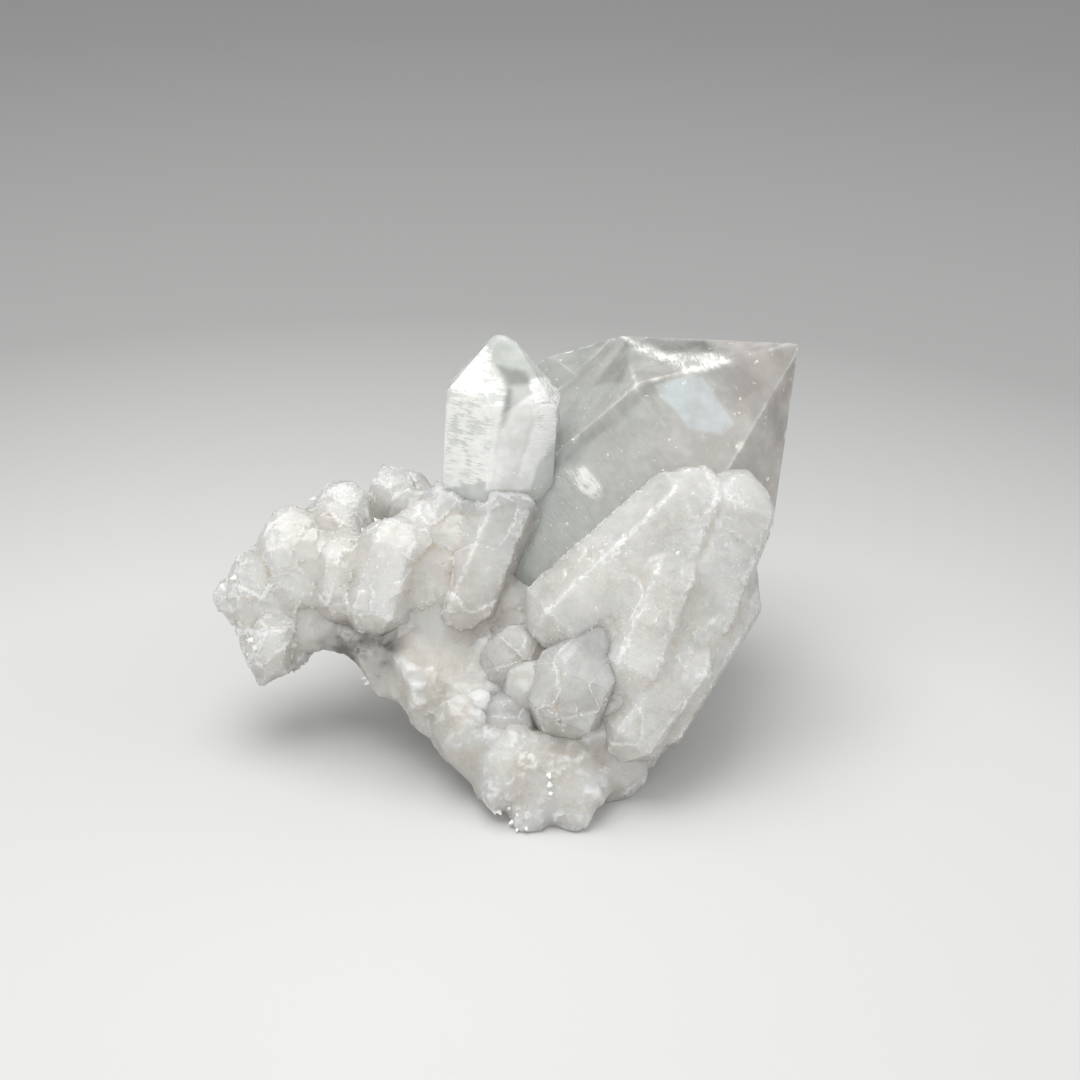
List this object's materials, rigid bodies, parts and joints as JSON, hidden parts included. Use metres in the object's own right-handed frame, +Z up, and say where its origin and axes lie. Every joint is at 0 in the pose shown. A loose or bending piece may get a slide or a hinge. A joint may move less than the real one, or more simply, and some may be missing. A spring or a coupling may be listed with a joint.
{
  "type": "quartz crystal cluster",
  "caption": "Natural quartz cluster: a large clear point, a smaller upright point and milky fans of crystals on a broken, sugary matrix, lying free on a surface.",
  "frame": {"origin": "middle of the bounding box in plan, on the surface that the cluster lies on", "axes": "+Z up, -Y towards the side the picture was taken from, +X towards the tip of the large point"},
  "size_m": [0.1122, 0.0922, 0.0754],
  "materials": {
    "clear_quartz": "clear with faint milky veils, glossy natural faces",
    "milky_quartz": "milky with a faint pink tint, satin faces, frosted edges",
    "broken_matrix": "sugary broken white quartz with grey patches"
  },
  "bodies": {
    "root": {"main_point": "clear_quartz", "upper_point": "clear_quartz", "right_fan": "milky_quartz", "left_lobe": "milky_quartz", "front_points": "milky_quartz", "back_points": "milky_quartz", "matrix": "broken_matrix"}
  },
  "joints": []
}
